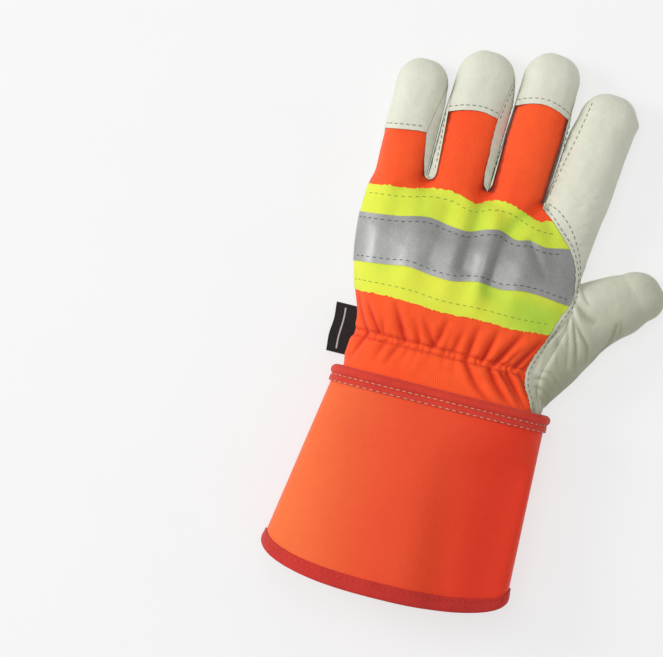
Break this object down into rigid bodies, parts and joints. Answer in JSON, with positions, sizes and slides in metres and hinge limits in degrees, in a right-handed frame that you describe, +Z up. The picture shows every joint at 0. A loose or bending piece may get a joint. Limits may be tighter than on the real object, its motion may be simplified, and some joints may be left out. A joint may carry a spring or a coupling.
{
  "type": "rigger glove",
  "caption": "Left-hand rigger glove lying palm down: leather palm and fingertips, gathered orange cloth back with hi-vis and reflective tapes, flared gauntlet cuff.",
  "frame": {"origin": "on the surface that the glove lies on, under the middle of its bounding box", "axes": "+Y from the cuff to the fingertips, +X towards the thumb, +Z up out of the back of the hand"},
  "size_m": [0.1842, 0.3146, 0.0617],
  "materials": {
    "leather": "pale grey-green grain leather, matt",
    "cloth": "orange woven cotton",
    "cuff_cloth": "orange rubberised cloth, stiff",
    "binding": "red folded binding tape",
    "hi_vis_tape": "fluorescent yellow-green woven tape",
    "reflective_strip": "silver retroreflective cloth",
    "label": "plain black woven tab"
  },
  "bodies": {
    "root": {"palm_leather": "leather", "finger_front_pair": "leather", "thumb_leather": "leather", "back_fabric": "cloth", "fingertip_cap_little": "leather", "fingertip_cap_ring": "leather", "fingertip_cap_middle": "leather", "hi_vis_tape": "hi_vis_tape", "reflective_strip": "reflective_strip", "gauntlet_cuff": "cuff_cloth", "cuff_top_binding": "binding", "cuff_hem_binding": "binding", "wrist_patch": "leather", "side_label": "label"}
  },
  "joints": []
}
